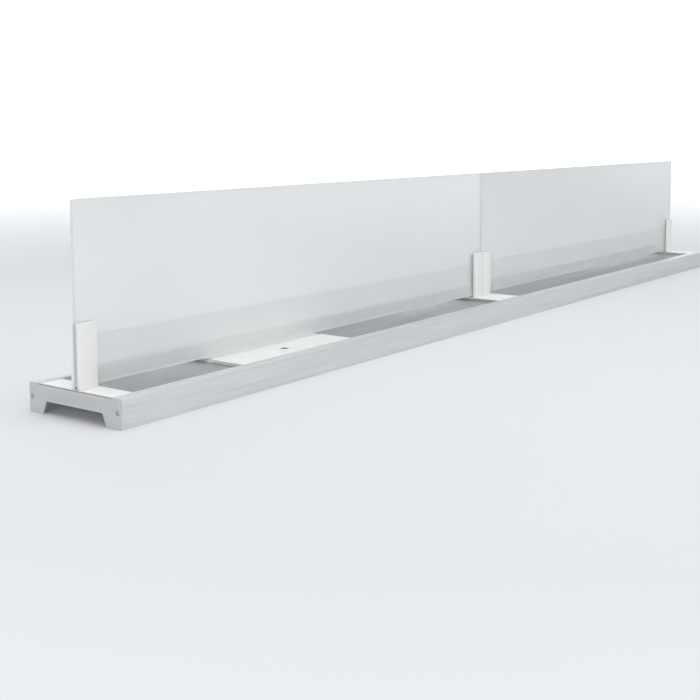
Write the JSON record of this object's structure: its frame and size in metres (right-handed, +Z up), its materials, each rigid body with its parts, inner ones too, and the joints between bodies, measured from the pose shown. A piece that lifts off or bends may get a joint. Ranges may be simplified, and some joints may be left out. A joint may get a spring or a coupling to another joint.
{
  "type": "desk privacy panel",
  "caption": "Long low frosted glass screen on flat white clamp brackets, standing in a shallow aluminium desk channel with white cover plates and flip-up cable lids.",
  "frame": {"origin": "middle of the channel's length and width, on the plane under the rails", "axes": "+X along the screen from the end with the cable hatch, +Y to the rear desk, +Z up"},
  "size_m": [2.4484, 0.2032, 0.3321],
  "materials": {
    "frosted_glass": "acid-etched, even milky translucent face with clear polished edges",
    "white_coat": "fine satin white powder coat",
    "satin_aluminium": "satin anodised, brushed along its length",
    "silver_coat": "fine satin silver-grey powder coat",
    "liner": "matt grey elastomer",
    "screw_steel": "plain zinc-plated steel"
  },
  "bodies": {
    "channel_and_screen": {"panel_near": "frosted_glass", "panel_far": "frosted_glass", "front_bar_near": "white_coat", "front_bar_middle_a": "white_coat", "front_bar_middle_b": "white_coat", "front_bar_far": "white_coat", "rear_bar_near": "white_coat", "rear_bar_middle_a": "white_coat", "rear_bar_middle_b": "white_coat", "rear_bar_far": "white_coat", "liner_near": "liner", "liner_middle_a": "liner", "liner_middle_b": "liner", "liner_far": "liner", "clamp_screw_near_1": "screw_steel", "clamp_screw_near_2": "screw_steel", "clamp_screw_middle_a_1": "screw_steel", "clamp_screw_middle_a_2": "screw_steel", "clamp_screw_middle_b_1": "screw_steel", "clamp_screw_middle_b_2": "screw_steel", "clamp_screw_far_1": "screw_steel", "clamp_screw_far_2": "screw_steel", "cover_plate_near": "white_coat", "cover_plate_middle": "white_coat", "cover_plate_far": "white_coat", "carrier_near": "satin_aluminium", "carrier_middle": "satin_aluminium", "carrier_far": "satin_aluminium", "bar_screw_near_1": "screw_steel", "bar_screw_near_2": "screw_steel", "bar_screw_middle_1": "screw_steel", "bar_screw_middle_2": "screw_steel", "bar_screw_middle_3": "screw_steel", "bar_screw_middle_4": "screw_steel", "bar_screw_far_1": "screw_steel", "bar_screw_far_2": "screw_steel", "carrier_screw_near_1": "screw_steel", "carrier_screw_near_2": "screw_steel", "carrier_screw_middle_1": "screw_steel", "carrier_screw_middle_2": "screw_steel", "carrier_screw_middle_3": "screw_steel", "carrier_screw_middle_4": "screw_steel", "carrier_screw_far_1": "screw_steel", "carrier_screw_far_2": "screw_steel", "rail_front": "satin_aluminium", "rail_rear": "satin_aluminium", "end_plate_near": "silver_coat", "end_plate_far": "silver_coat", "end_screw_near_1": "screw_steel", "end_screw_near_2": "screw_steel", "end_screw_far_1": "screw_steel", "end_screw_far_2": "screw_steel", "tray_near": "satin_aluminium", "tray_middle": "satin_aluminium", "tray_far": "satin_aluminium", "hatch_frame": "white_coat", "hinge_pin_front": "screw_steel", "hinge_pin_rear": "screw_steel"},
    "front_lid": {"hatch_lid_front": "white_coat"},
    "rear_lid": {"hatch_lid_rear": "white_coat"}
  },
  "joints": [
    {"name": "front_lid_hinge", "type": "hinge", "parent": "channel_and_screen", "child": "front_lid", "pos_m": [-0.7771, -0.0054, 0.04375], "axis": [-1, 0, 0], "range_deg": [0, 90]},
    {"name": "rear_lid_hinge", "type": "hinge", "parent": "channel_and_screen", "child": "rear_lid", "pos_m": [-0.7771, 0.0054, 0.04375], "axis": [1, 0, 0], "range_deg": [0, 90]}
  ]
}
